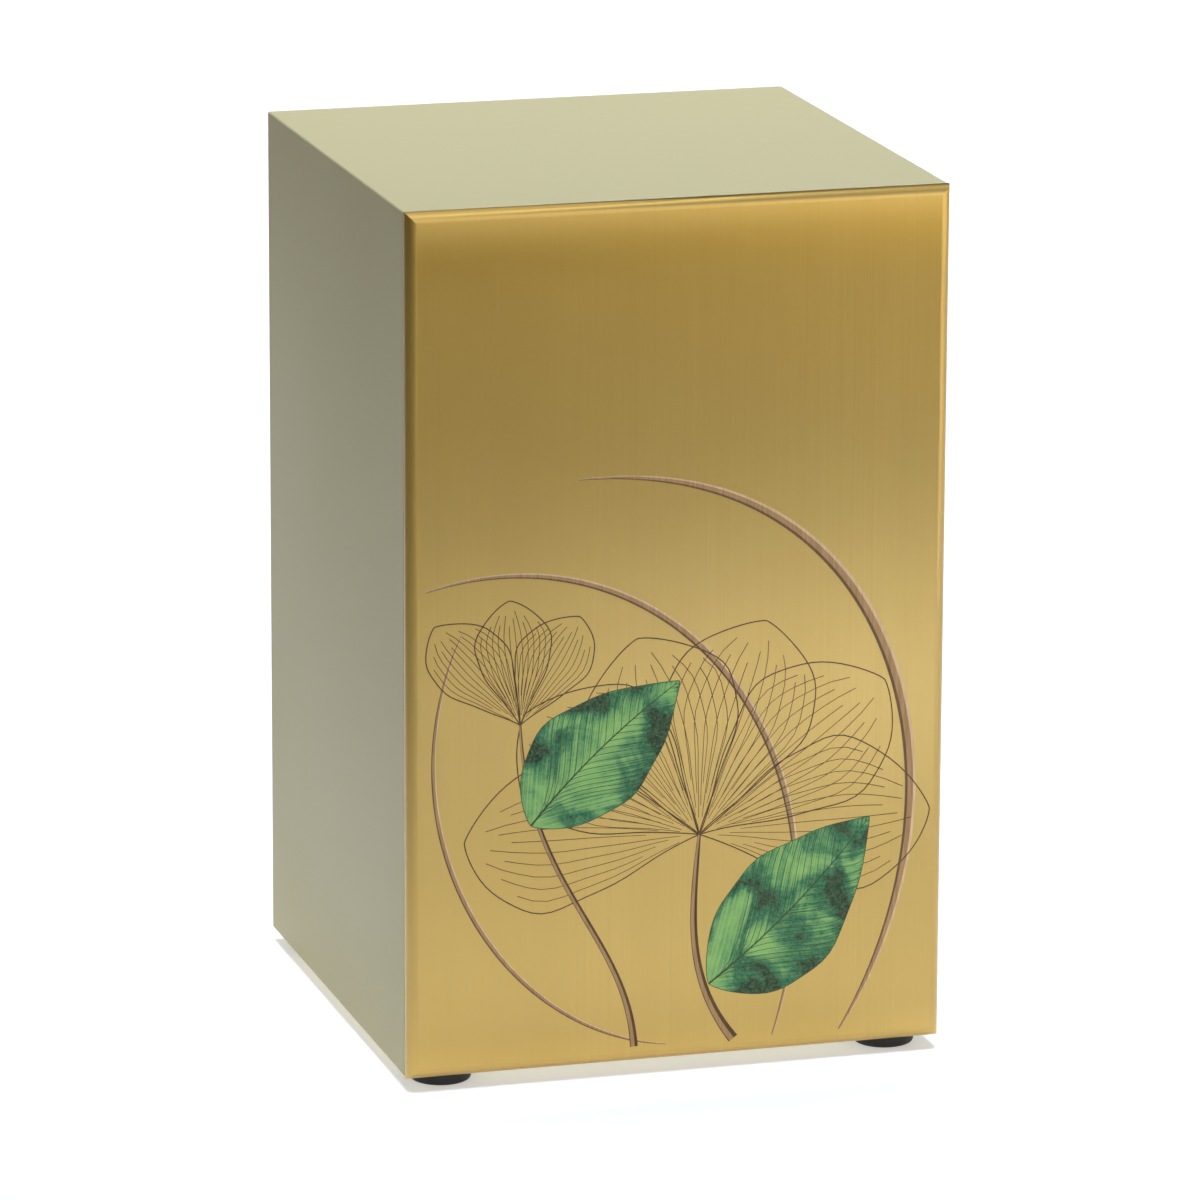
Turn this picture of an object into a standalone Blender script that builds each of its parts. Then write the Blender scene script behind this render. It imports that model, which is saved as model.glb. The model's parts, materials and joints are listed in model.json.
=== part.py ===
"""A cremation urn: an upright lacquered box with a brushed metal front panel.

The box is closed on top and all round. It is filled from below, through an opening in its
floor that a screwed hatch plate closes, and it stands on four rubber feet.
The front faces -Y and +Z is up. The origin is the middle of the footprint, on the surface
that the feet stand on. All sizes are in metres.
"""

import math

import bmesh
import bpy
from mathutils import Matrix, Vector

# Overall sizes
BOX_WIDTH = 0.150
BOX_DEPTH = 0.150  # from the face of the panel to the back
BOX_HEIGHT = 0.2365  # without the feet

# Gap between pieces that touch
JOINT_GAP = 0.0003

# Boards of the body
WALL_THICKNESS = 0.009
TOP_THICKNESS = 0.009
FLOOR_THICKNESS = 0.012
BODY_EDGE_RADIUS = 0.0006

# Front panel, a metal plate with rounded front edges
PANEL_THICKNESS = 0.0032
PANEL_RIM_LAND = 0.0003  # straight part of the rim, behind the rounding

# Rubber feet
FOOT_DIAMETER = 0.0176
FOOT_HEIGHT = 0.0035
FOOT_EDGE_RADIUS = 0.0010
FOOT_FLANK_LEAN = 0.0005  # how far the flank leans in, from top to bottom
FOOT_TO_SIDE = 0.0034  # from the side of the box to the nearest point of a foot

# Hatch, set in a recess in the floor between the feet
HATCH_TO_FOOT = 0.002
HATCH_LEDGE = 0.010  # width of the ledge that carries the plate
HATCH_THICKNESS = 0.006
HATCH_CLEARANCE = 0.0005
HATCH_SETBACK = 0.0002  # how far the plate lies inside the underside
HATCH_CORNER_RADIUS = 0.004
HATCH_CHAMFER = 0.0005

# Countersunk screws that hold the hatch
SCREW_HEAD_DIAMETER = 0.0066
SCREW_SHANK_DIAMETER = 0.0035
SCREW_HEAD_LAND = 0.0003
SCREW_TIP_LENGTH = 0.0012
SCREW_TIP_COVER = 0.0015  # board left above the tip
SCREW_SETBACK = 0.0002  # how far the head lies inside the plate's face
SCREW_CLEARANCE = 0.0003
DRIVE_SPAN = 0.0036  # cross recess in the head
DRIVE_SLOT = 0.0009
DRIVE_DEPTH = 0.0014
DRIVE_TAPER = 0.5  # size of the recess at its floor, against its mouth

# Fineness of round forms
EDGE_SEGMENTS = 3
PANEL_SEGMENTS = 8
CORNER_SEGMENTS = 6
FOOT_SIDES = 48
FOOT_EDGE_POINTS = 4
SCREW_SIDES = 24

# How far a cutter runs past the surface that it opens
CUTTER_OVERRUN = 0.001

# Levels and places that follow from the sizes
UNDERSIDE = FOOT_HEIGHT
BOX_TOP = UNDERSIDE + BOX_HEIGHT
FRONT = -BOX_DEPTH / 2
BACK = BOX_DEPTH / 2
BODY_FRONT = FRONT + PANEL_THICKNESS + JOINT_GAP
FLOOR_TOP = UNDERSIDE + FLOOR_THICKNESS
FOOT_INSET = FOOT_TO_SIDE + FOOT_DIAMETER / 2
RECESS_MARGIN = FOOT_TO_SIDE + FOOT_DIAMETER + HATCH_TO_FOOT
RECESS_WIDTH = BOX_WIDTH - 2 * RECESS_MARGIN
RECESS_DEPTH = BOX_DEPTH - 2 * RECESS_MARGIN
HATCH_BOTTOM = UNDERSIDE + HATCH_SETBACK
HATCH_TOP = HATCH_BOTTOM + HATCH_THICKNESS
LEDGE_LEVEL = HATCH_TOP + JOINT_GAP
SCREW_BOTTOM = HATCH_BOTTOM + SCREW_SETBACK
SCREW_TOP = FLOOR_TOP - SCREW_TIP_COVER
SCREW_X = RECESS_WIDTH / 2 - HATCH_LEDGE / 2
SCREW_Y = RECESS_DEPTH / 2 - HATCH_LEDGE / 2

# Corners, as signs of X and Y
CORNERS = {
    "front_left": (-1, -1),
    "front_right": (1, -1),
    "back_left": (-1, 1),
    "back_right": (1, 1),
}


def clear_scene():
    for obj in list(bpy.data.objects):
        bpy.data.objects.remove(obj, do_unlink=True)


def make_material(name, colour, roughness, metallic):
    material = bpy.data.materials.new(name)
    material.use_nodes = True
    shader = material.node_tree.nodes["Principled BSDF"]
    shader.inputs["Base Color"].default_value = (*colour, 1.0)
    shader.inputs["Roughness"].default_value = roughness
    shader.inputs["Metallic"].default_value = metallic
    return material


def make_mesh(name, form, material, smooth=False):
    """Turns a bmesh into a mesh with its faces pointing out."""
    bmesh.ops.recalc_face_normals(form, faces=form.faces)
    mesh = bpy.data.meshes.new(name)
    form.to_mesh(mesh)
    form.free()
    if material:
        mesh.materials.append(material)
    if smooth:
        mesh.shade_smooth()
        mesh.set_sharp_from_angle(angle=math.radians(35))
    return mesh


def add_piece(name, mesh, parent, location=(0, 0, 0)):
    piece = bpy.data.objects.new(name, mesh)
    piece.location = location
    piece.parent = parent
    bpy.context.scene.collection.objects.link(piece)
    return piece


def cut(piece, name, form):
    """Cuts a closed form out of a piece."""
    cutter = add_piece(name, make_mesh(name, form, None), piece.parent, piece.location)
    cutter.hide_render = True
    cutter.display_type = "WIRE"
    boolean = piece.modifiers.new(name, "BOOLEAN")
    boolean.operation = "DIFFERENCE"
    boolean.solver = "EXACT"
    boolean.object = cutter


def even_normals(piece):
    """Keeps the large flat faces flat where they run into a rounding."""
    piece.data.shade_smooth()
    weighted = piece.modifiers.new("even_normals", "WEIGHTED_NORMAL")
    weighted.keep_sharp = True


def box_form(low, high):
    """A plain box between two corners."""
    low, high = Vector(low), Vector(high)
    form = bmesh.new()
    bmesh.ops.create_cube(form, size=1)
    bmesh.ops.scale(form, vec=high - low, verts=form.verts)
    bmesh.ops.translate(form, vec=(low + high) / 2, verts=form.verts)
    return form


def slab_form(width, depth, bottom, top, corner_radius):
    """A slab about the Z axis with rounded upright edges."""
    form = box_form((-width / 2, -depth / 2, bottom), (width / 2, depth / 2, top))
    upright = [edge for edge in form.edges if abs(edge.verts[0].co.z - edge.verts[1].co.z) > (top - bottom) / 2]
    bmesh.ops.bevel(form, geom=upright, offset=corner_radius, segments=CORNER_SEGMENTS, profile=0.5, affect="EDGES")
    return form


def turned_form(profile, sides, centres=((0, 0),)):
    """Closed bodies turned about upright axes, from (radius, height) points that start and end on the axis."""
    form = bmesh.new()
    for x, y in centres:
        rings = []
        for radius, height in profile:
            angles = [2 * math.pi * i / sides for i in range(sides)] if radius else [0]
            ring = [form.verts.new((x + radius * math.cos(a), y + radius * math.sin(a), height)) for a in angles]
            rings.append(ring)
        for lower, upper in zip(rings, rings[1:]):
            for i in range(sides):
                corners = [lower[i % len(lower)], lower[(i + 1) % len(lower)]]
                corners += [upper[(i + 1) % len(upper)], upper[i % len(upper)]]
                form.faces.new(dict.fromkeys(corners))
    return form


def screw_places():
    """The four places of the screws, in the middle of the ledge's corners."""
    return [(x * SCREW_X, y * SCREW_Y) for x, y in CORNERS.values()]


def make_body(material, parent):
    """The lacquered box: top, four walls and a floor with the hatch opening."""
    form = box_form((-BOX_WIDTH / 2, BODY_FRONT, UNDERSIDE), (BOX_WIDTH / 2, BACK, BOX_TOP))
    bmesh.ops.bevel(
        form, geom=form.edges[:], offset=BODY_EDGE_RADIUS, segments=EDGE_SEGMENTS, profile=0.5, affect="EDGES"
    )
    body = add_piece("body", make_mesh("body", form, material), parent)
    inside = box_form(
        (-BOX_WIDTH / 2 + WALL_THICKNESS, BODY_FRONT + WALL_THICKNESS, FLOOR_TOP),
        (BOX_WIDTH / 2 - WALL_THICKNESS, BACK - WALL_THICKNESS, BOX_TOP - TOP_THICKNESS),
    )
    cut(body, "inside_cutter", inside)
    recess = slab_form(
        RECESS_WIDTH, RECESS_DEPTH, UNDERSIDE - CUTTER_OVERRUN, LEDGE_LEVEL, HATCH_CORNER_RADIUS
    )
    cut(body, "recess_cutter", recess)
    opening = slab_form(
        RECESS_WIDTH - 2 * HATCH_LEDGE,
        RECESS_DEPTH - 2 * HATCH_LEDGE,
        UNDERSIDE - CUTTER_OVERRUN,
        FLOOR_TOP + CUTTER_OVERRUN,
        HATCH_CORNER_RADIUS,
    )
    cut(body, "opening_cutter", opening)
    radius = SCREW_SHANK_DIAMETER / 2 + SCREW_CLEARANCE
    low, high = LEDGE_LEVEL - CUTTER_OVERRUN, SCREW_TOP + SCREW_CLEARANCE
    pilot_holes = turned_form([(0, low), (radius, low), (radius, high), (0, high)], SCREW_SIDES, screw_places())
    cut(body, "pilot_hole_cutter", pilot_holes)
    even_normals(body)


def make_front_panel(material, parent):
    """The metal plate on the front, with a full rounding along its four front edges."""
    form = box_form((-BOX_WIDTH / 2, FRONT, UNDERSIDE), (BOX_WIDTH / 2, FRONT + PANEL_THICKNESS, BOX_TOP))
    front_edges = [edge for edge in form.edges if all(vert.co.y < FRONT + PANEL_THICKNESS / 2 for vert in edge.verts)]
    bmesh.ops.bevel(
        form,
        geom=front_edges,
        offset=PANEL_THICKNESS - PANEL_RIM_LAND,
        segments=PANEL_SEGMENTS,
        profile=0.5,
        affect="EDGES",
    )
    panel = add_piece("front_panel", make_mesh("front_panel", form, material, smooth=True), parent)
    even_normals(panel)


def make_hatch_plate(material, parent):
    """The board that closes the opening in the floor."""
    form = slab_form(
        RECESS_WIDTH - 2 * HATCH_CLEARANCE,
        RECESS_DEPTH - 2 * HATCH_CLEARANCE,
        HATCH_BOTTOM,
        HATCH_TOP,
        HATCH_CORNER_RADIUS - HATCH_CLEARANCE,
    )
    rim = [edge for edge in form.edges if all(vert.co.z < HATCH_BOTTOM + HATCH_THICKNESS / 2 for vert in edge.verts)]
    bmesh.ops.bevel(form, geom=rim, offset=HATCH_CHAMFER, segments=1, profile=0.5, affect="EDGES")
    plate = add_piece("hatch_plate", make_mesh("hatch_plate", form, material), parent)
    hole_radius = SCREW_SHANK_DIAMETER / 2 + SCREW_CLEARANCE
    head_radius = SCREW_HEAD_DIAMETER / 2 + SCREW_CLEARANCE
    mouth = SCREW_BOTTOM + SCREW_HEAD_LAND
    profile = [
        (0, HATCH_BOTTOM - CUTTER_OVERRUN),
        (head_radius, HATCH_BOTTOM - CUTTER_OVERRUN),
        (head_radius, mouth),
        (hole_radius, mouth + head_radius - hole_radius),
        (hole_radius, HATCH_TOP + CUTTER_OVERRUN),
        (0, HATCH_TOP + CUTTER_OVERRUN),
    ]
    cut(plate, "countersink_cutter", turned_form(profile, SCREW_SIDES, screw_places()))


def drive_form():
    """The tapered cross that the driver fits, mouth down, at the axis of a screw."""
    form = bmesh.new()
    span, slot = DRIVE_SPAN / 2, DRIVE_SLOT / 2
    quarter = [(span, -slot), (span, slot), (slot, slot)]
    outline = [Matrix.Rotation(math.pi / 2 * turn, 2) @ Vector(point) for turn in range(4) for point in quarter]
    levels = [(SCREW_BOTTOM - CUTTER_OVERRUN, 1), (SCREW_BOTTOM, 1), (SCREW_BOTTOM + DRIVE_DEPTH, DRIVE_TAPER)]
    rings = [[form.verts.new((*(point * size), height)) for point in outline] for height, size in levels]
    for lower, upper in zip(rings, rings[1:]):
        for i in range(len(outline)):
            j = (i + 1) % len(outline)
            form.faces.new((lower[i], lower[j], upper[j], upper[i]))
    form.faces.new(rings[0])
    form.faces.new(rings[-1])
    return form


def make_screws(material, parent):
    """Four countersunk wood screws, heads down. Their threads are left plain."""
    shank, head = SCREW_SHANK_DIAMETER / 2, SCREW_HEAD_DIAMETER / 2
    cone_start = SCREW_BOTTOM + SCREW_HEAD_LAND
    profile = [
        (0, SCREW_BOTTOM),
        (head, SCREW_BOTTOM),
        (head, cone_start),
        (shank, cone_start + head - shank),
        (shank, SCREW_TOP - SCREW_TIP_LENGTH),
        (0, SCREW_TOP),
    ]
    mesh = make_mesh("hatch_screw", turned_form(profile, SCREW_SIDES), material, smooth=True)
    for corner, (x, y) in CORNERS.items():
        screw = add_piece(f"hatch_screw_{corner}", mesh, parent, (x * SCREW_X, y * SCREW_Y, 0))
        cut(screw, f"drive_cutter_{corner}", drive_form())


def make_feet(material, parent):
    """Four round rubber feet, flat underneath with a rounded lower edge."""
    top = FOOT_HEIGHT - JOINT_GAP
    lower_radius = FOOT_DIAMETER / 2 - FOOT_FLANK_LEAN
    profile = [(0, 0)]
    for i in range(FOOT_EDGE_POINTS + 1):
        angle = math.pi / 2 * i / FOOT_EDGE_POINTS
        radius = lower_radius - FOOT_EDGE_RADIUS * (1 - math.sin(angle))
        profile.append((radius, FOOT_EDGE_RADIUS * (1 - math.cos(angle))))
    profile += [(FOOT_DIAMETER / 2, top), (0, top)]
    mesh = make_mesh("foot", turned_form(profile, FOOT_SIDES), material, smooth=True)
    for corner, (x, y) in CORNERS.items():
        place = (x * (BOX_WIDTH / 2 - FOOT_INSET), y * (BOX_DEPTH / 2 - FOOT_INSET), 0)
        add_piece(f"foot_{corner}", mesh, parent, place)


def main():
    clear_scene()
    lacquer = make_material("champagne_lacquer", (0.50, 0.47, 0.31), 0.35, 0.4)
    gold = make_material("brushed_gold", (0.66, 0.45, 0.13), 0.35, 1.0)
    board = make_material("painted_board", (0.40, 0.38, 0.26), 0.55, 0.0)
    steel = make_material("zinc_steel", (0.60, 0.60, 0.58), 0.35, 1.0)
    rubber = make_material("black_rubber", (0.012, 0.011, 0.010), 0.7, 0.0)
    urn = add_piece("urn", None, None)
    make_body(lacquer, urn)
    make_front_panel(gold, urn)
    make_hatch_plate(board, urn)
    make_screws(steel, urn)
    make_feet(rubber, urn)


main()
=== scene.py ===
"""Looks of a cremation urn: a lacquered box with a printed, brushed metal front panel.

Sizes are in metres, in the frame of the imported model: +Z up, the front panel facing -Y, the
origin in the middle of the footprint. A place on the panel's face is an (x, z) pair.
"""

import json
import math
from collections import namedtuple

import bmesh
import bpy
from mathutils import Matrix, Vector
from mathutils.geometry import delaunay_2d_cdt, interpolate_bezier

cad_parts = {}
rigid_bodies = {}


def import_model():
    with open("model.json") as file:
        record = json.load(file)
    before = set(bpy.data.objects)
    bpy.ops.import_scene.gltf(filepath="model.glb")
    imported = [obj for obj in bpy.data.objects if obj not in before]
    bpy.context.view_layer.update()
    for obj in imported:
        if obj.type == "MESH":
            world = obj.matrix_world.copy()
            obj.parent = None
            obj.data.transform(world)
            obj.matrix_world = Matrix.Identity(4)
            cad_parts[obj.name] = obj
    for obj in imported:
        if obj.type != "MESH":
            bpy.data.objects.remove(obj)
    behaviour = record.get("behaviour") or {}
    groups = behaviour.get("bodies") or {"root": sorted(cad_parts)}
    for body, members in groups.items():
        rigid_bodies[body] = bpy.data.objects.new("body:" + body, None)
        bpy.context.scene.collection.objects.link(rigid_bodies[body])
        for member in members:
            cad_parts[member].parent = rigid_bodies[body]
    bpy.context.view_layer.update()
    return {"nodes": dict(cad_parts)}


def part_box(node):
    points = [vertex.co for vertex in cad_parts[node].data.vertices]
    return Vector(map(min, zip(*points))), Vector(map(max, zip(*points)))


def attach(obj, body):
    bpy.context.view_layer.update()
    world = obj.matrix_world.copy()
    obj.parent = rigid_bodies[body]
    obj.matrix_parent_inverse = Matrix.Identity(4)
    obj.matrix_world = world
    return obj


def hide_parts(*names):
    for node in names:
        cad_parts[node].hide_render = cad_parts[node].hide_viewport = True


MM = 0.001

# Camera, solved from the edges of the box in the photograph
CAMERA_AZIMUTH = -16.354
CAMERA_ELEVATION = 14.229
CAMERA_ROLL = 0.242
CAMERA_DISTANCE = 2.1491
CAMERA_TARGET = (-0.00125, -0.0041, 0.11417)
CAMERA_RANGE = (0.05, 50)
SENSOR_WIDTH = 36.0
LENS = 234.29

# Body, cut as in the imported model
WALL_THICKNESS = 9 * MM
TOP_THICKNESS = 9 * MM
FLOOR_THICKNESS = 12 * MM
BODY_EDGE_RADIUS = 0.6 * MM
BODY_EDGE_SEGMENTS = 6
RECESS_WIDTH = 104 * MM
RECESS_CORNER_RADIUS = 4 * MM
RECESS_CORNER_SEGMENTS = 12
RECESS_CLEARANCE = 0.3 * MM  # above the hatch plate
LEDGE_WIDTH = 10 * MM
PILOT_HOLE_RADIUS = 2.05 * MM
PILOT_HOLE_SIDES = 24
CUTTER_OVERRUN = 1 * MM  # how far a cutter runs past the surface that it opens

# Front panel
PANEL_RIM_LAND = 0.3 * MM  # straight part of the rim, behind the rounding
PANEL_SEGMENTS = 16
CROWN_WIDTH = 23 * MM  # strip at the top and bottom where the face already turns a little
CROWN_ANGLE = math.radians(6)
CROWN_GROWTH = 1.6  # the higher it is, the nearer its edge the strip turns
CROWN_SHARES = (0.0, 0.25, 0.5, 0.75, 1.0)  # where its facets end, from the edge inwards

# Rubber feet
FOOT_EDGE_RADIUS = 1.0 * MM
FOOT_EDGE_SEGMENTS = 8
FOOT_FLANK_LEAN = 0.5 * MM
FOOT_SIDES = 96
FOOT_SHARP_ANGLE = math.radians(40)

# Lines of the print
MARGIN_LINE_WIDTH = 0.34 * MM
FINE_LINE_WIDTH = 0.20 * MM
PETAL_LINE_WIDTHS = (FINE_LINE_WIDTH * 0.8, FINE_LINE_WIDTH * 1.1)
VEIN_WIDTHS = (FINE_LINE_WIDTH * 0.8, FINE_LINE_WIDTH)
MIDRIB_WIDTHS = (0.6 * MM, 0.2 * MM)
LINE_STEPS = 10
PATH_STEPS = 72
END_SHARPNESS = 5  # the higher it is, the nearer its ends a strip starts to narrow
BAND_SHARE = 0.25  # width of a blade's dark edge, and of its light edge, as a share of the blade
STEM_LIGHT_SHARE = 0.5
STEM_LIGHT_OFFSET = 0.3

# Petals, and the lines in them, which start and end at places that vary from line to line
PETAL_LINES = 13
PETAL_LINE_START = 0.08
PETAL_LINE_START_STEP = 0.05
PETAL_LINE_END = 0.92
PETAL_LINE_END_STEP = 0.03
PETAL_LINE_END_FALL = 0.08  # how much sooner the lines nearest the margin end
PETAL_LENGTH_SWING = 0.06
PETAL_BEND = 0.10
PETAL_FULLNESS = 1.5
PETAL_POINTEDNESS = 0.75

# Green leaves, and the side veins in them, as shares of the leaf
LEAF_VEINS = 15
VEIN_START = 0.02
VEIN_SPAN = 0.80
VEIN_REACH = 0.42  # how far a vein runs along its leaf, as a share of the way to VEIN_LIMIT
VEIN_LIMIT = 1.08
VEIN_END = 0.98
VEIN_CURVE = 1.25
MIDRIB_LENGTH = 0.98

# Margins of leaves and petals
LEAF_STEPS = 36
MARGIN_WAVE = 0.025
MARGIN_WAVE_RATE = 19

# Triangles of the print: outlines are rounded to a micrometre, and nearer corners are merged
OUTLINE_DIGITS = 6
MERGE_DISTANCE = 0.001 * MM

# Islands of the map that the panel's finish is baked to, as shares of the map
FACE_CORNER = (0.005, 0.005)
PRINT_CORNER = (0.505, 0.005)
FACE_WIDTH = 0.49
BACK_CORNER = (0.01, 0.80)
BACK_SIZE = (0.12, 0.19)
LAND_CORNER = (0.20, 0.80)
LAND_SCALE = 2.5  # for each metre
LAND_ROW = 0.045
LAND_HEIGHT = 0.03

# Floor, with a glow of its own round the urn and more of it close to its foot. Each fades out
# between two distances.
FLOOR_SIZE = 8
FLOOR_GLOW = 0.18
FLOOR_GLOW_FADE = (0.16, 0.40)
FOOT_GLOW = 0.28
FOOT_GLOW_FADE = (0.082, 0.104)

# Dim light of the room
ROOM_TINT = (1.0, 0.97, 0.80, 1.0)
ROOM_LIGHT = 0.155

# Tints of the boxes of light
WHITE = (1.0, 1.0, 1.0)
COOL = (0.91, 0.99, 1.33)
WARM = (1.0, 0.91, 0.70)

# A stem or blade: a curve from its start to its end, drawn towards a point near each
Path = namedtuple("Path", "start start_pull end_pull end widths")

# A leaf or petal. The bend carries its tip to the left. The higher its fullness, the nearer its
# tip it is widest. The higher its pointedness, the more pointed its ends are.
Leaf = namedtuple("Leaf", "base heading length width bend fullness pointedness")

# A fan of petals, from the first heading to the last
Blossom = namedtuple("Blossom", "centre headings petals length width")

Ink = namedtuple("Ink", "name colour shade roughness")
Light = namedtuple("Light", "name size power place aim tint spread lit")

# A shape of the print, with the leaf that it lies on or None
Shape = namedtuple("Shape", "ink outline leaf")

# A facet of the panel, with the leaf or the side of the plate that it lies on or None
Facet = namedtuple("Facet", "corners normals part owner")

# The print in millimetres and degrees on the panel's face. A path has its width at the start,
# over most of its length and at the end.
BLADES = [
    Path((27, 8), (54, 92), (-6, 156), (-70, 138), (0.5, 2.3, 0.4)),
    Path((-3, 8), (-50, 14), (-84, 74), (-60, 126), (0.3, 1.6, 0.3)),
    Path((46, 8), (88, 74), (62, 170), (-28, 166), (0.6, 3.5, 0.3)),
]
STEMS = [
    Path((16, 8), (2, 26), (4, 44), (6, 66), (3.0, 2.0, 0.9)),
    Path((-12, 8), (-14, 40), (-42, 54), (-44, 100), (2.2, 1.5, 0.7)),
]
BLOSSOMS = [
    Blossom((6, 66), (172, 8), 6, 62, 43),
    Blossom((-44, 100), (124, 66), 3, 35, 21),
]
GREEN_LEAVES = [
    Leaf((9, 24), 36, 62, 35, 0.14, 0.80, 0.9),
    Leaf((-41, 72), 50, 55, 32, -0.14, 0.80, 0.9),
]
INKS = {
    "line": Ink("brown_ink", (0.120, 0.066, 0.018), (0.065, 0.034, 0.009), 0.42),
    "vein": Ink("vein_ink", (0.055, 0.095, 0.030), (0.030, 0.050, 0.018), 0.42),
    "bronze": Ink("bronze_ink", (0.40, 0.245, 0.105), (0.29, 0.170, 0.065), 0.36),
    "bronze_dark": Ink("bronze_dark_ink", (0.16, 0.09, 0.035), (0.11, 0.06, 0.022), 0.42),
    "bronze_light": Ink("bronze_light_ink", (0.66, 0.46, 0.23), (0.52, 0.35, 0.17), 0.34),
}
INK_SHEEN = 0.06  # how much smoother an ink is where it is brightest

# Boxes of light. Each faces its aim, or straight down without one, and lights the group named
# last. The one over the floor ends half a metre in front of the urn, so the brushed panel, which
# mirrors the floor there, has a dark band across its upper part. Two strips and a patch light
# the floor a little there and further out. The last three light the panel alone, and its
# rounded edges mirror them softly.
PANEL_AIM = (0.0, -0.07, 0.12)
LIGHTS = [
    Light("over_urn", (0.9, 0.9), 2.0, (0.10, 0.0, 1.3), None, COOL, 70, "all_but_panel"),
    Light("over_backdrop", (1.9, 1.6), 8.5, (0.40, 1.1, 1.5), None, WHITE, 60, "all"),
    Light("over_floor", (1.35, 2.4), 5.62, (0.325, 0.7, 0.9), None, COOL, 24, "all_but_panel"),
    Light("over_edge", (1.25, 2.4), 2.8, (0.375, 0.7, 0.9), None, COOL, 24, "panel"),
    Light("near_strip", (0.7, 0.25), 0.88, (0.42, -0.48, 0.7), None, COOL, 20, "all"),
    Light("right_patch", (0.6, 0.5), 1.2, (0.74, -0.72, 0.7), None, COOL, 20, "all"),
    Light("far_strip", (1.2, 0.4), 0.9, (0.35, -1.1, 0.7), None, WARM, 20, "all"),
    Light("front_wall", (3.0, 2.2), 14, (0.55, -2.2, 1.15), PANEL_AIM, COOL, 180, "panel"),
    Light("near_right", (1.1, 0.8), 5.7, (0.75, -0.60, 0.42), PANEL_AIM, WARM, 180, "panel"),
    Light("over_front", (1.5, 1.2), 2.5, (0.15, -0.60, 1.2), PANEL_AIM, COOL, 180, "panel"),
]

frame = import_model()


def add_node(tree, kind, inputs=None, **settings):
    """Adds a shader node. Each input is set to a value or linked to another node's output."""
    node = tree.nodes.new("ShaderNode" + kind)
    for name, value in settings.items():
        setattr(node, name, value)
    for name, value in (inputs or {}).items():
        if isinstance(value, bpy.types.NodeSocket):
            tree.links.new(value, node.inputs[name])
        else:
            node.inputs[name].default_value = value
    return node


def new_material(name, **constants):
    """A material with a Principled shader, whose constant inputs are given by name."""
    material = bpy.data.materials.new(name)
    material.use_nodes = True
    tree = material.node_tree
    shader = tree.nodes["Principled BSDF"]
    for socket, value in constants.items():
        shader.inputs[socket.replace("_", " ")].default_value = value
    return material, tree, shader


def noise(tree, scale, detail=2.0, distortion=0.0, shift=(0, 0, 0)):
    """Noise over the object's own metres. The scale is in features a metre along X, Y and Z."""
    place = add_node(tree, "TexCoord").outputs["Object"]
    mapping = add_node(tree, "Mapping", {"Vector": place, "Location": shift, "Scale": scale})
    inputs = {"Vector": mapping.outputs["Vector"], "Scale": 1.0}
    inputs.update({"Detail": detail, "Distortion": distortion})
    return add_node(tree, "TexNoise", inputs).outputs["Fac"]


def ramp(tree, value, low, high, to_low=0.0, to_high=1.0):
    """Maps a value from one range to another, held at both ends."""
    inputs = {"Value": value, "From Min": low, "From Max": high}
    inputs.update({"To Min": to_low, "To Max": to_high})
    return add_node(tree, "MapRange", inputs).outputs["Result"]


def mix(tree, factor, first, second):
    """Mixes two colours, each of them an RGB triple or the output of a node."""
    node = add_node(tree, "Mix", {0: factor}, data_type="RGBA")
    for socket, colour in ((node.inputs[6], first), (node.inputs[7], second)):
        if isinstance(colour, bpy.types.NodeSocket):
            tree.links.new(colour, socket)
        else:
            socket.default_value = (*colour, 1.0)
    return node.outputs[2]


def calculate(tree, operation, first, second=0.0):
    """The result of an operation on one or two numbers."""
    inputs = {0: first, 1: second}
    return add_node(tree, "Math", inputs, operation=operation).outputs["Value"]


def add_bump(tree, shader, height, depth, strength):
    """Roughens a surface by a height from 0 to 1, which stands for a depth in metres."""
    bump = add_node(tree, "Bump", {"Height": height, "Distance": depth, "Strength": strength})
    tree.links.new(bump.outputs["Normal"], shader.inputs["Normal"])


def make_lacquer():
    """Satin champagne lacquer with fine metal flakes and a trace of orange peel."""
    material, tree, shader = new_material(
        "champagne_lacquer", Metallic=0.1, Specular_IOR_Level=0.05
    )
    flakes = ramp(tree, noise(tree, (5200, 5200, 5200), 1.0), 0.35, 0.65)
    clouds = ramp(tree, noise(tree, (9, 9, 7), 3.0), 0.3, 0.7)
    base = mix(tree, flakes, (0.490, 0.442, 0.226), (0.550, 0.497, 0.260))
    colour = mix(tree, clouds, base, (0.515, 0.462, 0.238))
    tree.links.new(colour, shader.inputs["Base Color"])
    tree.links.new(ramp(tree, clouds, 0.0, 1.0, 0.36, 0.42), shader.inputs["Roughness"])
    add_bump(tree, shader, noise(tree, (420, 420, 420), 2.0), 0.00003, 0.5)
    return material


def make_raw_board():
    """Sawn fibreboard, as it is inside the box."""
    material, tree, shader = new_material("raw_fibreboard", Roughness=0.9)
    fibres = ramp(tree, noise(tree, (900, 900, 900), 4.0, 1.5), 0.3, 0.7)
    colour = mix(tree, fibres, (0.30, 0.19, 0.10), (0.44, 0.31, 0.18))
    tree.links.new(colour, shader.inputs["Base Color"])
    add_bump(tree, shader, fibres, 0.00008, 0.6)
    return material


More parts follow.
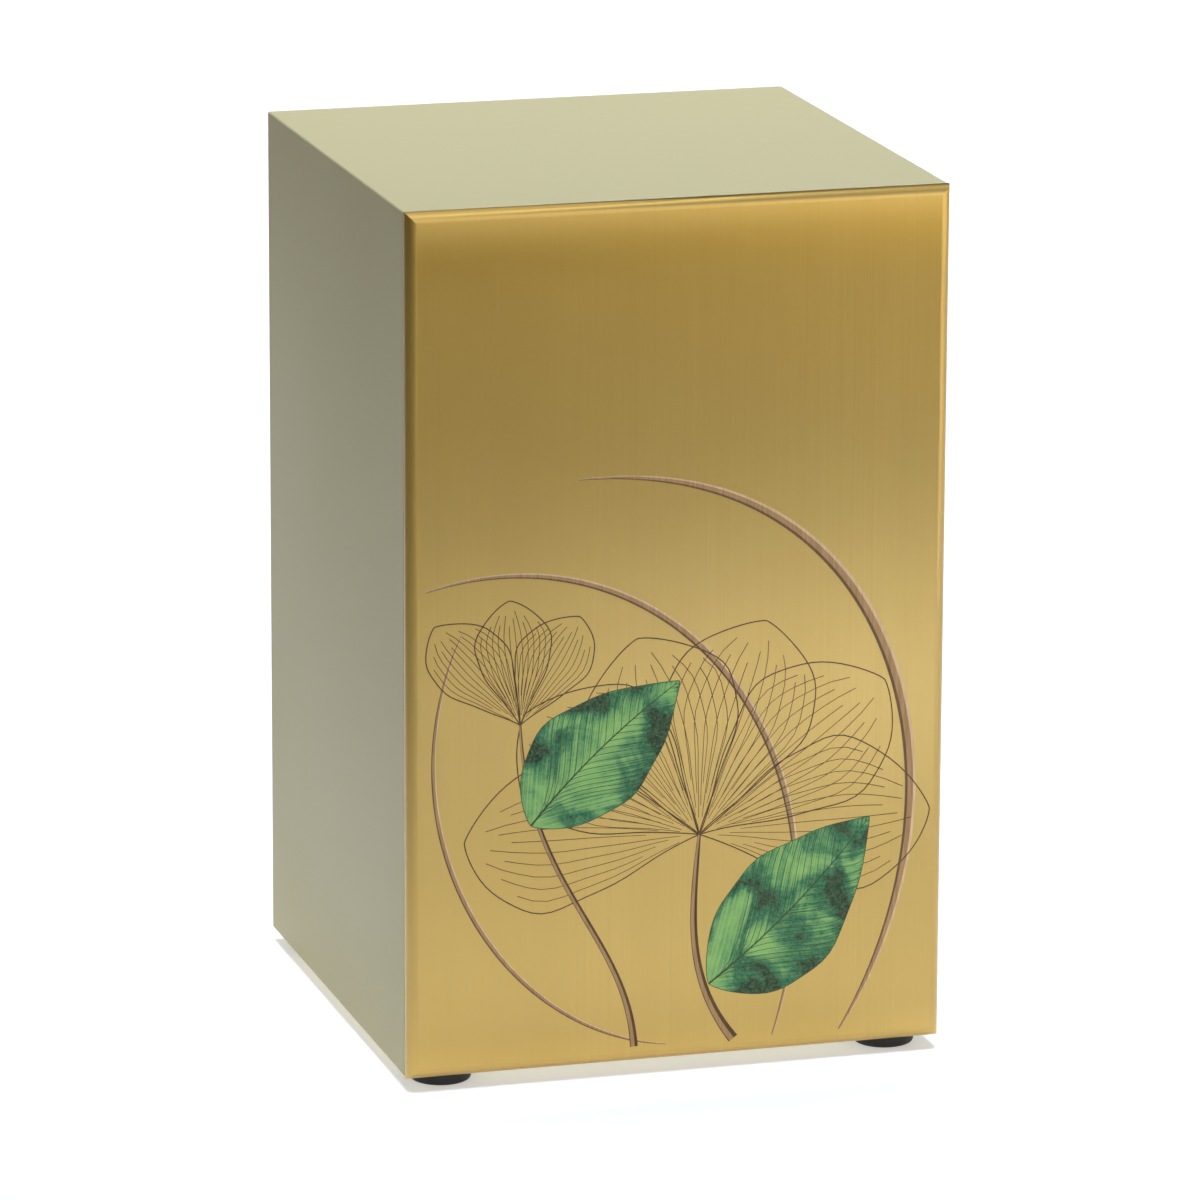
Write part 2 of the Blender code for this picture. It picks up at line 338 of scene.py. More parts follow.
def make_brushed_gold(name, anisotropic, smooth, rough):
    """Gold-coloured metal, brushed upright, under a thin clear coat."""
    material, tree, shader = new_material(
        name, Metallic=1.0, Anisotropic=anisotropic, Coat_Weight=0.8, Coat_Roughness=0.2
    )
    hairs = ramp(tree, noise(tree, (5200, 60, 22), 2.0), 0.3, 0.7)
    streaks = ramp(tree, noise(tree, (1100, 60, 7), 3.0, shift=(3, 1, 2)), 0.3, 0.7)
    slow = ramp(tree, noise(tree, (50, 60, 6), 2.0, shift=(7, 5, 1)), 0.3, 0.7)
    dull = mix(tree, streaks, (0.538, 0.355, 0.075), (0.558, 0.370, 0.080))
    bright = mix(tree, hairs, dull, (0.580, 0.387, 0.086))
    colour = mix(tree, slow, bright, (0.545, 0.360, 0.076))
    tree.links.new(colour, shader.inputs["Base Color"])
    worn = calculate(tree, "MULTIPLY", calculate(tree, "ADD", hairs, streaks), 0.5)
    tree.links.new(ramp(tree, worn, 0.0, 1.0, rough, smooth), shader.inputs["Roughness"])
    add_bump(tree, shader, worn, 0.000004, 0.6)
    return material


def make_ink(ink):
    """A printed ink, slightly uneven where it follows the brushed metal under it."""
    material, tree, shader = new_material(ink.name, Metallic=0.25, Specular_IOR_Level=0.3)
    grain = ramp(tree, noise(tree, (2600, 60, 90), 2.0), 0.3, 0.7)
    tree.links.new(mix(tree, grain, ink.shade, ink.colour), shader.inputs["Base Color"])
    roughness = ramp(tree, grain, 0.0, 1.0, ink.roughness, ink.roughness - INK_SHEEN)
    tree.links.new(roughness, shader.inputs["Roughness"])
    return material


def make_watercolour():
    """Green watercolour with a paper grain: pale by the midrib, emerald outwards, dark pools."""
    pale, emerald = (0.20, 0.41, 0.11), (0.020, 0.165, 0.065)
    deep, pool = (0.008, 0.095, 0.045), (0.016, 0.032, 0.014)
    lime, paper = (0.31, 0.52, 0.15), (0.36, 0.55, 0.28)
    material, tree, shader = new_material(
        "green_watercolour", Roughness=0.4, Specular_IOR_Level=0.15
    )
    place = add_node(tree, "UVMap", uv_map="LeafPlace").outputs["UV"]
    axes = add_node(tree, "SeparateXYZ", {"Vector": place})
    along, across = axes.outputs["X"], axes.outputs["Y"]
    side = calculate(tree, "MULTIPLY", calculate(tree, "ABSOLUTE", across), 1.3)
    clouds = calculate(tree, "MULTIPLY", noise(tree, (75, 75, 75), 5.0, 0.6), 2.2)
    outward = calculate(tree, "ADD", side, calculate(tree, "MULTIPLY", along, 0.35))
    depth = calculate(tree, "ADD", outward, clouds)
    flow = calculate(tree, "MULTIPLY", calculate(tree, "SUBTRACT", along, side), 60.0)
    stripe_place = add_node(tree, "CombineXYZ", {"X": flow, "Y": across}).outputs["Vector"]
    stripes = add_node(tree, "TexNoise", {"Vector": stripe_place, "Scale": 1.0, "Detail": 2.0})
    stripes = ramp(tree, stripes.outputs["Fac"], 0.40, 0.62, 0.0, 0.6)
    grain = ramp(tree, noise(tree, (1500, 1500, 1500), 3.0), 0.35, 0.65, 0.0, 0.14)
    colour = mix(tree, ramp(tree, depth, 1.05, 1.42), pale, emerald)
    colour = mix(tree, stripes, colour, lime)
    colour = mix(tree, ramp(tree, depth, 1.36, 1.54, 0.0, 0.8), colour, deep)
    colour = mix(tree, ramp(tree, depth, 1.60, 1.70, 0.0, 0.9), colour, pool)
    colour = mix(tree, grain, colour, paper)
    tree.links.new(colour, shader.inputs["Base Color"])
    return material


def make_painted_board():
    """Matt paint rolled on fibreboard."""
    material, tree, shader = new_material("painted_board", Roughness=0.6)
    stipple = ramp(tree, noise(tree, (1300, 1300, 1300), 3.0), 0.3, 0.7)
    colour = mix(tree, stipple, (0.36, 0.34, 0.23), (0.42, 0.395, 0.275))
    tree.links.new(colour, shader.inputs["Base Color"])
    add_bump(tree, shader, stipple, 0.00004, 0.7)
    return material


def make_zinc():
    """Bright zinc plating with a faint blue and straw tint."""
    material, tree, shader = new_material("zinc_steel", Metallic=1.0)
    tint = ramp(tree, noise(tree, (600, 600, 600), 2.0), 0.35, 0.65)
    colour = mix(tree, tint, (0.56, 0.58, 0.60), (0.64, 0.61, 0.54))
    tree.links.new(colour, shader.inputs["Base Color"])
    tree.links.new(ramp(tree, tint, 0.0, 1.0, 0.28, 0.4), shader.inputs["Roughness"])
    return material


def make_rubber():
    """Black rubber with a moulded, slightly dusty skin."""
    material, tree, shader = new_material("black_rubber", Specular_IOR_Level=0.45)
    skin = ramp(tree, noise(tree, (2200, 2200, 2200), 3.0), 0.3, 0.7)
    colour = mix(tree, skin, (0.009, 0.009, 0.008), (0.020, 0.019, 0.017))
    tree.links.new(colour, shader.inputs["Base Color"])
    tree.links.new(ramp(tree, skin, 0.0, 1.0, 0.45, 0.6), shader.inputs["Roughness"])
    add_bump(tree, shader, skin, 0.00003, 0.5)
    return material


def add_piece(name, mesh, slot, *nodes):
    """Adds a piece that rides on the urn and stands for the given CAD nodes."""
    piece = bpy.data.objects.new(name, mesh)
    bpy.context.scene.collection.objects.link(piece)
    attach(piece, "root")
    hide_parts(*nodes)
    return piece


def box_form(low, high):
    """A plain box between two corners."""
    low, high = Vector(low), Vector(high)
    form = bmesh.new()
    bmesh.ops.create_cube(form, size=1)
    bmesh.ops.scale(form, vec=high - low, verts=form.verts)
    bmesh.ops.translate(form, vec=(low + high) / 2, verts=form.verts)
    return form


def round_edges(form, edges, radius, segments):
    """Rounds some edges of a form."""
    bmesh.ops.bevel(
        form, geom=edges, offset=radius, segments=segments, profile=0.5, affect="EDGES"
    )


def slab_form(width, bottom, top, corner_radius):
    """A square slab about the Z axis with rounded upright edges."""
    form = box_form((-width / 2, -width / 2, bottom), (width / 2, width / 2, top))
    upright = []
    for edge in form.edges:
        first, second = edge.verts
        if abs(first.co.z - second.co.z) > (top - bottom) / 2:
            upright.append(edge)
    round_edges(form, upright, corner_radius, RECESS_CORNER_SEGMENTS)
    return form


def turned_form(profile, sides, centres):
    """Closed bodies turned about upright axes through the centres.

    The profile is a list of (radius, height) points that starts and ends on the axis.
    """
    form = bmesh.new()
    for x, y in centres:
        rings = []
        for radius, height in profile:
            ring = []
            for i in range(sides if radius else 1):
                angle = 2 * math.pi * i / sides
                place = (x + radius * math.cos(angle), y + radius * math.sin(angle), height)
                ring.append(form.verts.new(place))
            rings.append(ring)
        for lower, upper in zip(rings, rings[1:]):
            for i in range(sides):
                corners = [lower[i % len(lower)], lower[(i + 1) % len(lower)]]
                corners += [upper[(i + 1) % len(upper)], upper[i % len(upper)]]
                form.faces.new(dict.fromkeys(corners))
    return form


def to_mesh(name, form, material):
    """Turns a bmesh into a mesh with its faces pointing out."""
    bmesh.ops.recalc_face_normals(form, faces=form.faces)
    mesh = bpy.data.meshes.new(name)
    form.to_mesh(mesh)
    form.free()
    mesh.materials.append(material)
    return mesh


def carved_mesh(name, form, material, cutters):
    """Cuts closed forms out of a form. Each comes with the material of the faces that it leaves."""
    scene_objects = bpy.context.scene.collection.objects
    work = bpy.data.objects.new(name, to_mesh(name, form, material))
    work.data.shade_smooth()
    scene_objects.link(work)
    tools = []
    for cutter_form, cut_material in cutters:
        tool = bpy.data.objects.new("cutter", to_mesh("cutter", cutter_form, cut_material))
        scene_objects.link(tool)
        tools.append(tool)
        boolean = work.modifiers.new("cut", "BOOLEAN")
        boolean.operation = "DIFFERENCE"
        boolean.solver = "EXACT"
        boolean.material_mode = "TRANSFER"
        boolean.object = tool
    weighted = work.modifiers.new("even_normals", "WEIGHTED_NORMAL")
    weighted.keep_sharp = True
    depsgraph = bpy.context.evaluated_depsgraph_get()
    mesh = bpy.data.meshes.new_from_object(work.evaluated_get(depsgraph), depsgraph=depsgraph)
    mesh.name = name
    for obj in [work, *tools]:
        bpy.data.objects.remove(obj, do_unlink=True)
    return mesh


def screw_places():
    """The four places of the hatch screws."""
    corners = []
    for x in ("left", "right"):
        for y in ("front", "back"):
            low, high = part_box(f"hatch_screw_{y}_{x}")
            corners.append(((low.x + high.x) / 2, (low.y + high.y) / 2))
    return corners


def make_body(lacquer, raw_board):
    """The lacquered box with finely eased edges, hollow and open to the hatch."""
    low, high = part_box("body")
    form = box_form(low, high)
    round_edges(form, form.edges[:], BODY_EDGE_RADIUS, BODY_EDGE_SEGMENTS)
    ledge_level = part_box("hatch_plate")[1].z + RECESS_CLEARANCE
    floor_top = low.z + FLOOR_THICKNESS
    below = low.z - CUTTER_OVERRUN
    inside = box_form(
        (low.x + WALL_THICKNESS, low.y + WALL_THICKNESS, floor_top),
        (high.x - WALL_THICKNESS, high.y - WALL_THICKNESS, high.z - TOP_THICKNESS),
    )
    recess = slab_form(RECESS_WIDTH, below, ledge_level, RECESS_CORNER_RADIUS)
    opening = slab_form(
        RECESS_WIDTH - 2 * LEDGE_WIDTH, below, floor_top + CUTTER_OVERRUN, RECESS_CORNER_RADIUS
    )
    hole_bottom = ledge_level - CUTTER_OVERRUN
    hole_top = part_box("hatch_screw_front_left")[1].z + RECESS_CLEARANCE
    hole = [
        (0, hole_bottom),
        (PILOT_HOLE_RADIUS, hole_bottom),
        (PILOT_HOLE_RADIUS, hole_top),
        (0, hole_top),
    ]
    cutters = [
        (inside, raw_board),
        (recess, lacquer),
        (opening, raw_board),
        (turned_form(hole, PILOT_HOLE_SIDES, screw_places()), raw_board),
    ]
    mesh = carved_mesh("lacquered_body", form, lacquer, cutters)
    add_piece("lacquered_body", mesh, "champagne_lacquer", "body")


def make_feet(rubber):
    """Round rubber feet, flat underneath with a rounded lower edge."""
    for corner in ("front_left", "front_right", "back_left", "back_right"):
        low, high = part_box(f"foot_{corner}")
        radius = (high.x - low.x) / 2
        lower_radius = radius - FOOT_FLANK_LEAN
        profile = [(0, low.z)]
        for i in range(FOOT_EDGE_SEGMENTS + 1):
            angle = math.pi / 2 * i / FOOT_EDGE_SEGMENTS
            inset = FOOT_EDGE_RADIUS * (1 - math.sin(angle))
            level = low.z + FOOT_EDGE_RADIUS * (1 - math.cos(angle))
            profile.append((lower_radius - inset, level))
        profile += [(radius, high.z), (0, high.z)]
        centre = (low + high) / 2
        form = turned_form(profile, FOOT_SIDES, [(centre.x, centre.y)])
        mesh = to_mesh(f"rubber_{corner}", form, rubber)
        mesh.shade_smooth()
        mesh.set_sharp_from_angle(angle=FOOT_SHARP_ANGLE)
        add_piece(f"rubber_foot_{corner}", mesh, "black_rubber", f"foot_{corner}")


def path_points(path):
    """Points along a stem or blade, in metres."""
    ends_and_pulls = (path.start, path.start_pull, path.end_pull, path.end)
    handles = [Vector((x * MM, z * MM, 0)) for x, z in ends_and_pulls]
    return [point.to_2d() for point in interpolate_bezier(*handles, PATH_STEPS + 1)]


def strip_outline(points, widths, offset=0.0):
    """The outline of a line along the points, anticlockwise.

    Its widths are those at the start, over most of its length and at the end. The offset moves
    it to the left of the points, in shares of its width.
    """
    start, middle, end = widths
    right, left = [], []
    for i, point in enumerate(points):
        before, after = points[max(i - 1, 0)], points[min(i + 1, len(points) - 1)]
        across = (after - before).normalized().orthogonal()
        share = i / (len(points) - 1)
        width = middle
        width += (start - middle) * (1 - share) ** END_SHARPNESS
        width += (end - middle) * share**END_SHARPNESS
        centre = point + across * offset * width
        right.append(centre - across * width / 2)
        left.append(centre + across * width / 2)
    return right + left[::-1]


def leaf_axes(leaf):
    """The direction that a leaf points in, and the direction across it."""
    angle = math.radians(leaf.heading)
    heading = Vector((math.cos(angle), math.sin(angle)))
    return heading, heading.orthogonal()


def leaf_place(leaf, along, across):
    """A place on a leaf or petal, in metres. Both coordinates are shares of its length."""
    heading, sideways = leaf_axes(leaf)
    away = leaf.length * (heading * along + sideways * (across + leaf.bend * along * along))
    return (Vector(leaf.base) + away) * MM


def share_of_leaf(leaf, place):
    """The way back from a place on the panel to a place on a leaf."""
    heading, sideways = leaf_axes(leaf)
    away = (place / MM - Vector(leaf.base)) / leaf.length
    along = away.dot(heading)
    return along, away.dot(sideways) - leaf.bend * along * along


def half_width(leaf, along):
    """Half the width of a leaf at a place along it, with a faint wave, as a share of its length."""
    swell = max(math.sin(math.pi * along**leaf.fullness), 0) ** leaf.pointedness
    wave = 1 + MARGIN_WAVE * math.sin(MARGIN_WAVE_RATE * along + leaf.heading)
    return leaf.width / leaf.length / 2 * swell * wave


def leaf_line(leaf, places, end_widths, ink):
    """A line on a leaf that widens or narrows evenly near its ends."""
    start, end = end_widths
    points = [leaf_place(leaf, along, across) for along, across in places]
    return Shape(ink, strip_outline(points, (start, (start + end) / 2, end)), leaf)


def margins(leaf):
    """The right and the left margin of a leaf, with closer steps towards both ends."""
    steps = [(1 - math.cos(math.pi * i / LEAF_STEPS)) / 2 for i in range(LEAF_STEPS + 1)]
    return [[(along, side * half_width(leaf, along)) for along in steps] for side in (-1, 1)]


def petal_shapes(petal):
    """A petal in fine lines: its margin, and lines that spread from its base."""
    shapes = []
    for i in range(1, PETAL_LINES):
        side = 2 * i / PETAL_LINES - 1
        start = PETAL_LINE_START + PETAL_LINE_START_STEP * (i * 5 % 4)
        end = PETAL_LINE_END - PETAL_LINE_END_STEP * (i * 7 % 5) - PETAL_LINE_END_FALL * side * side
        places = []
        for k in range(LINE_STEPS + 1):
            along = start + (end - start) * k / LINE_STEPS
            places.append((along, side * half_width(petal, along)))
        shapes.append(leaf_line(petal, places, PETAL_LINE_WIDTHS, "line"))
    for margin in margins(petal):
        shapes.append(leaf_line(petal, margin, (MARGIN_LINE_WIDTH, MARGIN_LINE_WIDTH), "line"))
    return shapes


def green_leaf_shapes(leaf):
    """A leaf filled with watercolour, with its side veins, midrib and margin."""
    right, left = margins(leaf)
    fill = [leaf_place(leaf, along, across) for along, across in right + left[-2:0:-1]]
    shapes = [Shape("green", fill, leaf)]
    for side in (-1, 1):
        for i in range(LEAF_VEINS):
            start = VEIN_START + VEIN_SPAN * (i + (0.5 if side > 0 else 0)) / LEAF_VEINS
            reach = VEIN_REACH * (VEIN_LIMIT - start)
            places = []
            for k in range(LINE_STEPS + 1):
                share = k / LINE_STEPS
                along = start + reach * share
                across = side * half_width(leaf, along) * VEIN_END * share**VEIN_CURVE
                places.append((along, across))
            shapes.append(leaf_line(leaf, places, VEIN_WIDTHS, "vein"))
    midrib = [(MIDRIB_LENGTH * i / LINE_STEPS, 0) for i in range(LINE_STEPS + 1)]
    shapes.append(leaf_line(leaf, midrib, MIDRIB_WIDTHS, "vein"))
    for margin in (right, left):
        shapes.append(leaf_line(leaf, margin, (FINE_LINE_WIDTH, FINE_LINE_WIDTH), "vein"))
    return shapes


def blossom_petals(blossom):
    """The petals of a blossom, fanned out from its centre."""
    first, last = blossom.headings
    petals = []
    for i in range(blossom.petals):
        share = i / (blossom.petals - 1)
        heading = first + (last - first) * share
        length = blossom.length * (1 + PETAL_LENGTH_SWING * math.sin(5 * i + 1))
        bend = PETAL_BEND * (1 - 2 * share)
        petal = Leaf(
            blossom.centre, heading, length, blossom.width, bend, PETAL_FULLNESS, PETAL_POINTEDNESS
        )
        petals.append(petal)
    return petals


def blade_shapes(path):
    """A blade in three tones: a dark edge, a bronze middle and a light edge."""
    points = path_points(path)
    widths = [width * MM for width in path.widths]
    edge_widths = [width * BAND_SHARE for width in widths]
    edge_offset = (1 / BAND_SHARE - 1) / 2
    return [
        Shape("bronze", strip_outline(points, widths), None),
        Shape("bronze_dark", strip_outline(points, edge_widths, edge_offset), None),
        Shape("bronze_light", strip_outline(points, edge_widths, -edge_offset), None),
    ]


def stem_shapes(path):
    """A brown stem with a lighter band along its left side."""
    points = path_points(path)
    widths = [width * MM for width in path.widths]
    light_widths = [width * STEM_LIGHT_SHARE for width in widths]
    return [
        Shape("line", strip_outline(points, widths), None),
        Shape("bronze", strip_outline(points, light_widths, STEM_LIGHT_OFFSET), None),
    ]


def print_shapes():
    """Everything printed on the panel, from the lowest layer to the highest."""
    shapes = [shape for path in BLADES for shape in blade_shapes(path)]
    petals = [petal for blossom in BLOSSOMS for petal in blossom_petals(blossom)]
    shapes += [shape for petal in petals for shape in petal_shapes(petal)]
    shapes += [shape for path in STEMS for shape in stem_shapes(path)]
    shapes += [shape for leaf in GREEN_LEAVES for shape in green_leaf_shapes(leaf)]
    return shapes


def partition(border, shapes):
    """Splits the face inside the border along every outline.

    Gives the places of the corners, the triangles, and for each triangle the topmost shape that
    covers it, or None. Outlines that share an edge share its corners too, as they are rounded.
    """
    corners, outlines = [], []
    for outline in [border] + [shape.outline for shape in shapes]:
        outlines.append(list(range(len(corners), len(corners) + len(outline))))
        for corner in outline:
            x, y = (round(value, OUTLINE_DIGITS) for value in corner)
            corners.append(Vector((x, y)))
    inside_only, with_sources = 1, True
    places, _, triangles, _, _, sources = delaunay_2d_cdt(
        corners, [], outlines, inside_only, MERGE_DISTANCE, with_sources
    )
    tops = [shapes[max(source) - 1] if max(source) > 0 else None for source in sources]
    return places, triangles, tops


def crown_angle(height, reach):
    """How far the face turns up at a height above its middle, and down below it, in radians."""
    share = max((abs(height) - reach + CROWN_WIDTH) / CROWN_WIDTH, 0)
    return math.copysign(CROWN_ANGLE * share**CROWN_GROWTH, height)


def crown_bands(middle, half):
    """Rectangles of bare metal, whose edges split the face into the strips of the crown."""
    bands = []
    for share in CROWN_SHARES[1:]:
        reach = Vector((half.x, half.y - CROWN_WIDTH * share))
        outline = [middle + reach * Vector(way) for way in ((-1, -1), (1, -1), (1, 1), (-1, 1))]
        bands.append(Shape("metal", outline, None))
    return bands


def face_facets(places, triangles, tops, middle, half):
    """The facets of the printed face, which turns up or down a little near its ends."""
    facets = []
    for triangle, top in zip(triangles, tops):
        turns = [crown_angle(places[corner].y - middle.y, half.y) for corner in triangle]
        normals = [(0, -math.cos(turn), math.sin(turn)) for turn in turns]
        ink, leaf = (top.ink, top.leaf) if top else ("metal", None)
        facets.append(Facet(triangle, normals, ink, leaf))
    return facets


def panel_border(half):
    """Corners round a rectangle, anticlockwise from the bottom right, with more along its sides.

    Each comes with the way in which the rounded edge leaves it. The ones between the corners lie
    where the strips of the crown start.
    """
    upper = [half.y - CROWN_WIDTH * share for share in CROWN_SHARES]
    levels = sorted([-level for level in upper] + upper)
    corners = [Vector((half.x, level)) for level in levels]
    corners += [Vector((-half.x, level)) for level in reversed(levels)]
    ways = []
    for corner in corners:
        upward = math.copysign(1, corner.y) if abs(corner.y) == half.y else 0
        ways.append(Vector((math.copysign(1, corner.x), upward)))
    return corners, ways


def edge_normal(side, angle, tilt):
    """The way that a rounded edge faces at an angle from the face, where the face has a tilt."""
    if side.y:
        turn = CROWN_ANGLE + angle * (1 - CROWN_ANGLE / (math.pi / 2))
        return 0, -math.cos(turn), side.y * math.sin(turn)
    forward = math.cos(angle)
    return side.x * math.sin(angle), -forward * math.cos(tilt), forward * math.sin(tilt)


def edge_facets(rings, angles, ways, tilts):
    """The facets of the rounded edges and of the short land behind them."""
    facets = []
    for step, (inner, outer) in enumerate(zip(rings, rings[1:])):
        part = "land" if step == PANEL_SEGMENTS else "rim"
        for i in range(len(ways)):
            j = (i + 1) % len(ways)
            way = (ways[i] + ways[j]) / 2
            side = Vector((way.x, 0)) if way.x else way
            near = [edge_normal(side, angles[step], tilts[k]) for k in (j, i)]
            far = [edge_normal(side, angles[step + 1], tilts[k]) for k in (i, j)]
            facets.append(Facet((inner[j], inner[i], outer[i], outer[j]), near + far, part, side))
    return facets


def nearest(places, target):
    """The index of the place that is nearest to a target."""
    return min(range(len(places)), key=lambda i: (places[i] - target).length)


def panel_facets(low, high):
    """The vertices and facets of the plate: its face, rounded edges, a short land and its back."""
    radius = high.y - low.y - PANEL_RIM_LAND
    middle = Vector((low.x + high.x, low.z + high.z)) / 2
    half = Vector((high.x - low.x, high.z - low.z)) / 2 - Vector((radius, radius))
    corners, ways = panel_border(half)
    border = [middle + corner for corner in corners]
    places, triangles, tops = partition(border, crown_bands(middle, half) + print_shapes())
    vertices = [(place.x, low.y, place.y) for place in places]
    angles = [math.pi / 2 * min(step / PANEL_SEGMENTS, 1) for step in range(PANEL_SEGMENTS + 2)]
    levels = [low.y + radius * (1 - math.cos(angle)) for angle in angles[:-1]] + [high.y]
    rings = [[nearest(places, place) for place in border]]
    for angle, level in zip(angles[1:], levels[1:]):
        rings.append(list(range(len(vertices), len(vertices) + len(border))))
        for place, way in zip(border, ways):
            outer = place + way * radius * math.sin(angle)
            vertices.append((outer.x, level, outer.y))
    tilts = [crown_angle(corner.y, half.y) for corner in corners]
    facets = face_facets(places, triangles, tops, middle, half)
    facets += edge_facets(rings, angles, ways, tilts)
    facets.append(Facet(rings[-1][::-1], [(0, 1, 0)] * len(border), "back", None))
    return vertices, facets


def bake_place(corner, part, side, low, high):
    """Where a corner lies in the map that the finish is baked to.

    Printed parts have a copy of the face of their own, so that their edges stay sharp.
    """
    x, y, z = corner[0] - low.x, corner[1] - low.y, corner[2] - low.z
    width, depth, height = high.x - low.x, high.y - low.y, high.z - low.z
    if part == "back":
        left, bottom = BACK_CORNER
        return left + BACK_SIZE[0] * x / width, bottom + BACK_SIZE[1] * z / height
    if part == "land":
        left, bottom = LAND_CORNER
        row = 1 + side.x if side.x else 2 + side.y
        along = z if side.x else x
        return left + LAND_SCALE * along, bottom + LAND_ROW * row + LAND_HEIGHT * y / depth
    left, bottom = FACE_CORNER if part in ("metal", "rim") else PRINT_CORNER
    scale = FACE_WIDTH / width
    return left + scale * x, bottom + scale * z


def make_panel(finishes):
    """The brushed plate with its print. The finishes are materials by part, bare metal first."""
    low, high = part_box("front_panel")
    vertices, facets = panel_facets(low, high)
    mesh = bpy.data.meshes.new("printed_panel")
    mesh.from_pydata(vertices, [], [facet.corners for facet in facets])
    parts = list(finishes)
    for material in finishes.values():
        mesh.materials.append(material)
    bake_map = mesh.uv_layers.new(name="OFBake")
    leaf_map = mesh.uv_layers.new(name="LeafPlace")
    normals = []
    for polygon, facet in zip(mesh.polygons, facets):
        polygon.material_index = parts.index(facet.part) if facet.part in parts else 0
        normals += facet.normals
        for loop, corner in zip(polygon.loop_indices, facet.corners):
            place = vertices[corner]
            bake_map.data[loop].uv = bake_place(place, facet.part, facet.owner, low, high)
            if isinstance(facet.owner, Leaf):
                on_face = Vector((place[0], place[2]))
                leaf_map.data[loop].uv = share_of_leaf(facet.owner, on_face)
    mesh.shade_smooth()
    mesh.normals_split_custom_set(normals)
    return add_piece("printed_panel", mesh, "brushed_gold", "front_panel")


def add_camera():
    """The photograph's camera, from its bearing, height and roll about the target."""
    azimuth, elevation = math.radians(CAMERA_AZIMUTH), math.radians(CAMERA_ELEVATION)
    outward = math.cos(elevation)
    back = Vector((math.sin(azimuth) * outward, -math.cos(azimuth) * outward, math.sin(elevation)))
    right = Vector((0, 0, 1)).cross(back).normalized()
    up = back.cross(right)
    turn = Matrix.Rotation(math.radians(CAMERA_ROLL), 4, "Z")
    axes = Matrix((right, up, back)).transposed().to_4x4() @ turn
    data = bpy.data.cameras.new("camera")
    data.sensor_width = SENSOR_WIDTH
    data.lens = LENS
    data.clip_start, data.clip_end = CAMERA_RANGE
    camera = bpy.data.objects.new("camera", data)
    place = Vector(CAMERA_TARGET) + CAMERA_DISTANCE * back
    camera.matrix_world = Matrix.Translation(place) @ axes
    bpy.context.scene.collection.objects.link(camera)
    bpy.context.scene.camera = camera


def make_floor():
    """A pale floor that glows a little round the urn and at its foot, to keep its shadow faint.

    It is see-through from below, so that the underside can be looked at.
    """
    form = bmesh.new()
    bmesh.ops.create_grid(form, x_segments=1, y_segments=1, size=FLOOR_SIZE)
    material, tree, shader = new_material(
        "pale_floor",
        Base_Color=(0.8, 0.8, 0.8, 1.0),
        Emission_Color=(1.0, 1.0, 1.0, 1.0),
        Roughness=0.8,
        Specular_IOR_Level=0.2,
    )
    place = add_node(tree, "TexCoord").outputs["Object"]
    distance = add_node(tree, "VectorMath", {0: place}, operation="LENGTH").outputs["Value"]
    axes = add_node(tree, "SeparateXYZ", {"Vector": place})
    sideways, forward = (calculate(tree, "ABSOLUTE", axes.outputs[axis]) for axis in "XY")
    aside = calculate(tree, "MAXIMUM", sideways, forward)
    at_foot = ramp(tree, aside, *FOOT_GLOW_FADE, FOOT_GLOW, 0.0)
    around = ramp(tree, distance, *FLOOR_GLOW_FADE, FLOOR_GLOW, 0.0)
    tree.links.new(calculate(tree, "ADD", around, at_foot), shader.inputs["Emission Strength"])
    clear = add_node(tree, "BsdfTransparent").outputs["BSDF"]
    below = add_node(tree, "NewGeometry").outputs["Backfacing"]
    blend = add_node(tree, "MixShader", {0: below, 1: shader.outputs["BSDF"], 2: clear})
    tree.links.new(blend.outputs["Shader"], tree.nodes["Material Output"].inputs["Surface"])
    floor = bpy.data.objects.new("floor", to_mesh("floor", form, material))
    bpy.context.scene.collection.objects.link(floor)


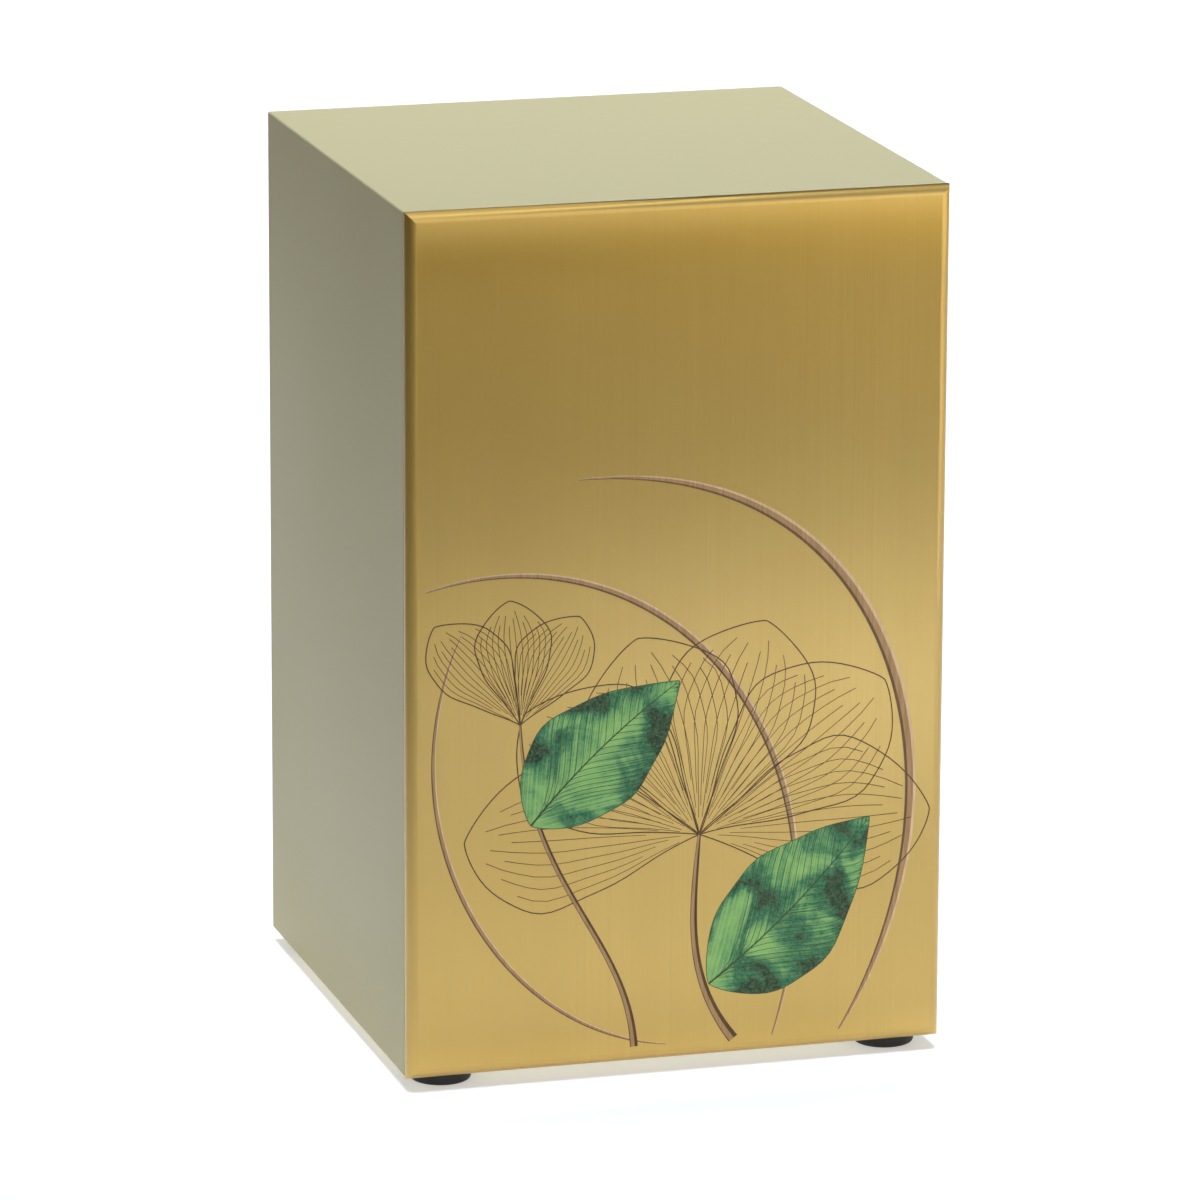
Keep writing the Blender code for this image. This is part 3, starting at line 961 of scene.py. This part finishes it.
def add_light(light):
    """A rectangular soft box that the camera doesn't see."""
    data = bpy.data.lights.new(light.name, "AREA")
    data.shape = "RECTANGLE"
    data.size, data.size_y = light.size
    data.energy = light.power
    data.color = light.tint
    data.spread = math.radians(light.spread)
    box = bpy.data.objects.new(light.name, data)
    x, y, _ = light.place
    aim = Vector(light.aim or (x, y, 0.0))
    box.location = light.place
    box.rotation_euler = (aim - Vector(light.place)).to_track_quat("-Z", "Y").to_euler()
    box.visible_camera = False
    bpy.context.scene.collection.objects.link(box)
    return box


def light_groups(panel):
    """Two groups for the lights: one with the panel alone, and one with everything else."""
    alone = bpy.data.collections.new("panel_alone")
    alone.objects.link(panel)
    rest = bpy.data.collections.new("all_but_panel")
    for obj in bpy.context.scene.objects:
        if obj.type == "MESH" and obj != panel:
            rest.objects.link(obj)
    return {"panel": alone, "all_but_panel": rest}


def light_scene(groups):
    """Soft boxes of light in a dim, warm room."""
    for light in LIGHTS:
        box = add_light(light)
        if light.lit in groups:
            box.light_linking.receiver_collection = groups[light.lit]
    world = bpy.data.worlds.new("room")
    world.use_nodes = True
    background = world.node_tree.nodes["Background"]
    background.inputs["Color"].default_value = ROOM_TINT
    background.inputs["Strength"].default_value = ROOM_LIGHT
    bpy.context.scene.world = world
    bpy.context.scene.view_settings.view_transform = "Standard"


def finish_nodes(materials):
    """Gives the CAD nodes that stay their finish."""
    for name, node in frame["nodes"].items():
        for prefix, material in materials.items():
            if name.startswith(prefix):
                node.data.materials.clear()
                node.data.materials.append(material)


def main():
    """Sets up the camera, the floor, the pieces of the urn and the lights."""
    add_camera()
    make_floor()
    make_body(make_lacquer(), make_raw_board())
    finishes = {
        "metal": make_brushed_gold("brushed_gold", anisotropic=0.88, smooth=0.30, rough=0.35),
        "rim": make_brushed_gold("brushed_gold_rim", anisotropic=0.6, smooth=0.44, rough=0.50),
    }
    finishes.update({part: make_ink(ink) for part, ink in INKS.items()})
    finishes["green"] = make_watercolour()
    panel = make_panel(finishes)
    make_feet(make_rubber())
    finish_nodes({"hatch_plate": make_painted_board(), "hatch_screw": make_zinc()})
    light_scene(light_groups(panel))


main()
